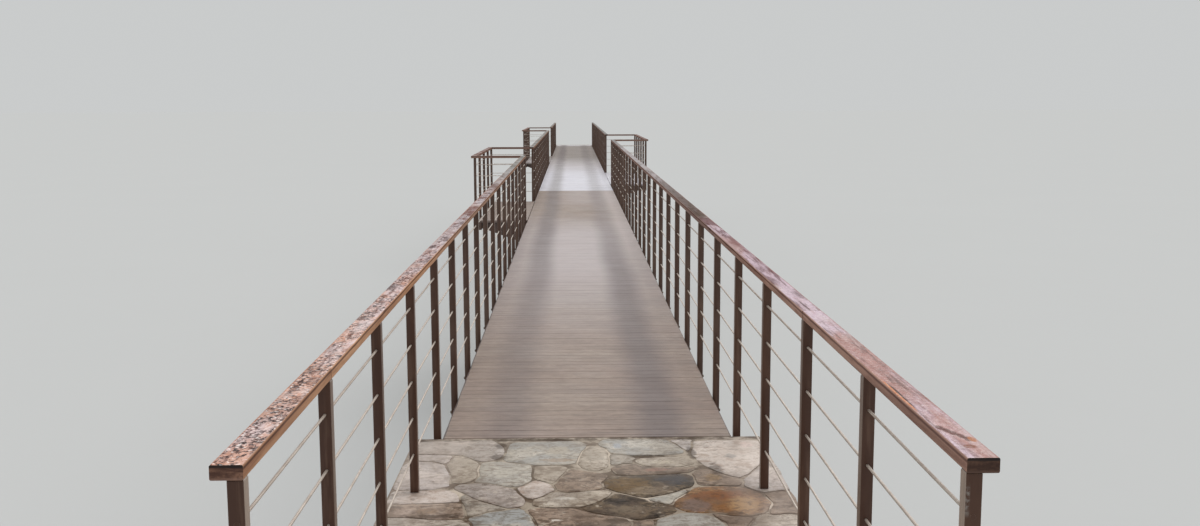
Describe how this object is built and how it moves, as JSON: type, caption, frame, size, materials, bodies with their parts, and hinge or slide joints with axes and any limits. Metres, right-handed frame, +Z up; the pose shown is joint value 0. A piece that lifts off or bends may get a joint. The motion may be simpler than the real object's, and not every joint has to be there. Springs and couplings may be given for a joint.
{
  "type": "one to two scale model of a boarded footbridge with wire-rope railings",
  "caption": "Half-size model of a straight boarded footbridge on steel side beams, with wire-rope railings, timber handrails, small side balconies and a stone-paved landing.",
  "frame": {"origin": "on the ground, under the middle of the bridge's length and width", "axes": "+Y along the bridge from the paved near landing to the far end, +X to the right when walking that way, +Z up"},
  "size_m": [1.494, 23.3, 1.81],
  "materials": {
    "masonry": "rough fieldstone masonry",
    "flagstone": "wet honed flagstones",
    "concrete": "weathered cast concrete",
    "steelwork": "dark brown paint, weathered",
    "deck_timber": "grey weathered boards, damp",
    "handrail_timber": "red-brown stained hardwood, wet and glossy",
    "railing": "dark brown painted posts",
    "wire_rope": "weathered galvanised wire rope"
  },
  "bodies": {
    "root": {"deck_boards_1": "deck_timber", "deck_boards_2": "deck_timber", "deck_boards_3": "deck_timber", "deck_framing_1": "steelwork", "deck_framing_2": "steelwork", "deck_framing_3": "steelwork", "far_abutment": "masonry", "far_landing_paving": "flagstone", "left_balcony_1_boards": "deck_timber", "left_balcony_1_far_railing": "railing", "left_balcony_1_frame": "steelwork", "left_balcony_1_handrail": "handrail_timber", "left_balcony_1_near_railing": "railing", "left_balcony_1_outer_railing": "railing", "left_balcony_2_boards": "deck_timber", "left_balcony_2_far_railing": "railing", "left_balcony_2_frame": "steelwork", "left_balcony_2_handrail": "handrail_timber", "left_balcony_2_near_railing": "railing", "left_balcony_2_outer_railing": "railing", "left_run_1_handrail": "handrail_timber", "left_run_1_railing": "railing", "left_run_2_handrail": "handrail_timber", "left_run_2_railing": "railing", "left_run_3_handrail": "handrail_timber", "left_run_3_railing": "railing", "left_side_beam_1": "steelwork", "left_side_beam_2": "steelwork", "left_side_beam_3": "steelwork", "near_abutment": "masonry", "near_landing_paving": "flagstone", "pier_1": "concrete", "pier_2": "concrete", "right_balcony_boards": "deck_timber", "right_balcony_far_railing": "railing", "right_balcony_frame": "steelwork", "right_balcony_handrail": "handrail_timber", "right_balcony_near_railing": "railing", "right_balcony_outer_railing": "railing", "right_run_1_handrail": "handrail_timber", "right_run_1_railing": "railing", "right_run_2_handrail": "handrail_timber", "right_run_2_railing": "railing", "right_side_beam_1": "steelwork", "right_side_beam_2": "steelwork", "right_side_beam_3": "steelwork"}
  },
  "joints": []
}
